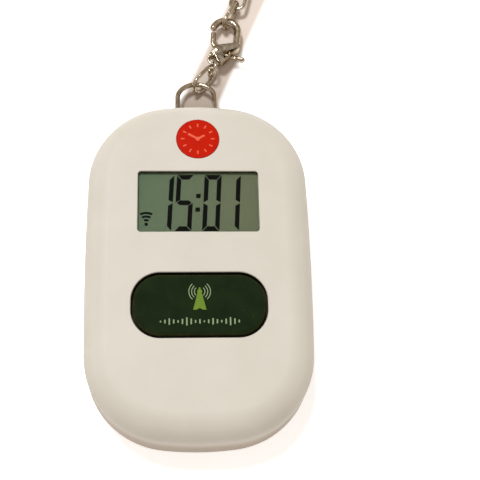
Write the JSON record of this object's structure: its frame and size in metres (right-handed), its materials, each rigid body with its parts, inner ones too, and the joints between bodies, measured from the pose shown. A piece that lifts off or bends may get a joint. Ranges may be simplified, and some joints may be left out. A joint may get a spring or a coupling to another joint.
{
  "type": "talking clock",
  "caption": "Pocket talking clock on a key chain: oval case with display window and large talk button, wire ring, lobster clasp, chain links and key ring.",
  "frame": {"origin": "centre of the flat back of the case, on the surface that it lies on", "axes": "+Z out of the front face, +Y along the case towards the chain, +X to the right of the face"},
  "size_m": [0.0484, 0.1261, 0.0131],
  "materials": {
    "case_plastic": "fine matt moulding, warm white",
    "screw_steel": "plated steel",
    "clear_window": "clear polished plastic window",
    "black_plastic": "matt black",
    "lcd_glass": "grey-green liquid crystal panel",
    "lcd_ink": "dark liquid crystal strokes",
    "black_rubber": "soft and matt",
    "badge_red": "satin orange red",
    "white_ink": "printed white",
    "board_green": "solder mask green",
    "bright_steel": "bright steel",
    "ceramic_chip": "small ceramic chips",
    "pale_rubber": "pale silicone rubber",
    "cone_film": "thin dark film",
    "copper_wire": "copper wire",
    "ferrite": "dark grey sintered ferrite",
    "button_green": "soft-touch matt dark green",
    "green_ink": "printed leaf green",
    "setting_plastic": "matt warm white",
    "nickel": "polished nickel plate"
  },
  "bodies": {
    "case": {"front_shell": "case_plastic", "rear_shell": "case_plastic", "battery_cover": "case_plastic", "battery_cover_screw": "screw_steel", "case_screws": "screw_steel", "display_window": "clear_window", "display_frame": "black_plastic", "lcd_panel": "lcd_glass", "lcd_segments": "lcd_ink", "contact_strip": "black_rubber", "badge": "badge_red", "badge_print": "white_ink", "circuit_board": "board_green", "controller_blob": "black_plastic", "quartz_crystal": "bright_steel", "board_chips": "ceramic_chip", "setting_switches": "black_plastic", "button_membrane": "pale_rubber", "contact_pill": "black_rubber", "speaker_gasket": "black_rubber", "speaker_frame": "bright_steel", "speaker_magnet": "bright_steel", "speaker_cone": "cone_film", "voice_coil": "copper_wire", "speaker_leads": "copper_wire", "ferrite_rod": "ferrite", "aerial_winding": "copper_wire", "button_cell_left": "bright_steel", "button_cell_right": "bright_steel", "cell_contacts": "bright_steel", "cell_bridge": "bright_steel"},
    "talk_button": {"talk_button": "button_green", "tower_print": "green_ink", "button_print": "white_ink"},
    "mode_button": {"mode_button": "setting_plastic"},
    "set_button": {"set_button": "setting_plastic"},
    "case_ring": {"case_ring": "nickel"},
    "link_1": {"link_1": "nickel"},
    "link_2": {"link_2": "nickel"},
    "clasp": {"clasp_body": "nickel", "lever_pin": "nickel", "lever_spring": "screw_steel"},
    "clasp_lever": {"clasp_lever": "nickel"},
    "upper_link_1": {"upper_link_1": "nickel"},
    "upper_link_2": {"upper_link_2": "nickel"},
    "upper_link_3": {"upper_link_3": "nickel"},
    "key_ring": {"key_ring": "nickel"}
  },
  "joints": [
    {"name": "talk_button_press", "type": "slide", "parent": "case", "child": "talk_button", "axis": [0, 0, -1], "range_m": [0, 0.0006], "stiffness_N_per_m": 3000},
    {"name": "mode_button_press", "type": "slide", "parent": "case", "child": "mode_button", "axis": [0, 0, 1], "range_m": [0, 0.0004], "stiffness_N_per_m": 2500},
    {"name": "set_button_press", "type": "slide", "parent": "case", "child": "set_button", "axis": [0, 0, 1], "range_m": [0, 0.0004], "stiffness_N_per_m": 2500},
    {"name": "case_ring_swing", "type": "hinge", "parent": "case", "child": "case_ring", "pos_m": [0, 0.03, 0.0054], "axis": [1, 0, 0], "range_deg": [-20, 48]},
    {"name": "link_1_swing", "type": "hinge", "parent": "case_ring", "child": "link_1", "pos_m": [-0.00028, 0.04114, 0.00209], "axis": [0.3185, -0.2783, -0.9062], "range_deg": [-25, 40]},
    {"name": "link_2_swing", "type": "hinge", "parent": "link_1", "child": "link_2", "pos_m": [0.00289, 0.04462, 0.00174], "axis": [-0.2482, 0.4996, -0.83], "range_deg": [-25, 30]},
    {"name": "clasp_swing", "type": "hinge", "parent": "link_2", "child": "clasp", "pos_m": [0.00367, 0.04689, 0.00262], "axis": [0.993, -0.1132, -0.0349], "range_deg": [-18, 18]},
    {"name": "upper_link_1_swing", "type": "hinge", "parent": "clasp", "child": "upper_link_1", "pos_m": [0.00597, 0.05627, 0.00197], "axis": [-0.1431, 0.0641, 0.9876], "range_deg": [-40, 40]},
    {"name": "upper_link_2_swing", "type": "hinge", "parent": "upper_link_1", "child": "upper_link_2", "pos_m": [0.00867, 0.06075, 0.00203], "axis": [0.9564, -0.2385, 0.1685], "range_deg": [-45, 45]},
    {"name": "upper_link_3_swing", "type": "hinge", "parent": "upper_link_2", "child": "upper_link_3", "pos_m": [0.00973, 0.06585, 0.00203], "axis": [-0.3716, 0.1654, 0.9135], "range_deg": [-45, 45]},
    {"name": "key_ring_swing", "type": "hinge", "parent": "upper_link_3", "child": "key_ring", "pos_m": [0.01183, 0.07015, 0.00212], "axis": [0.9511, -0.309, 0], "range_deg": [-45, 45]},
    {"name": "clasp_lever_open", "type": "hinge", "parent": "clasp", "child": "clasp_lever", "pos_m": [0.00453, 0.0501, 0.00243], "axis": [-0.0405, -0.0481, -0.998], "range_deg": [0, 20], "stiffness_Nm_per_rad": 0.01}
  ]
}
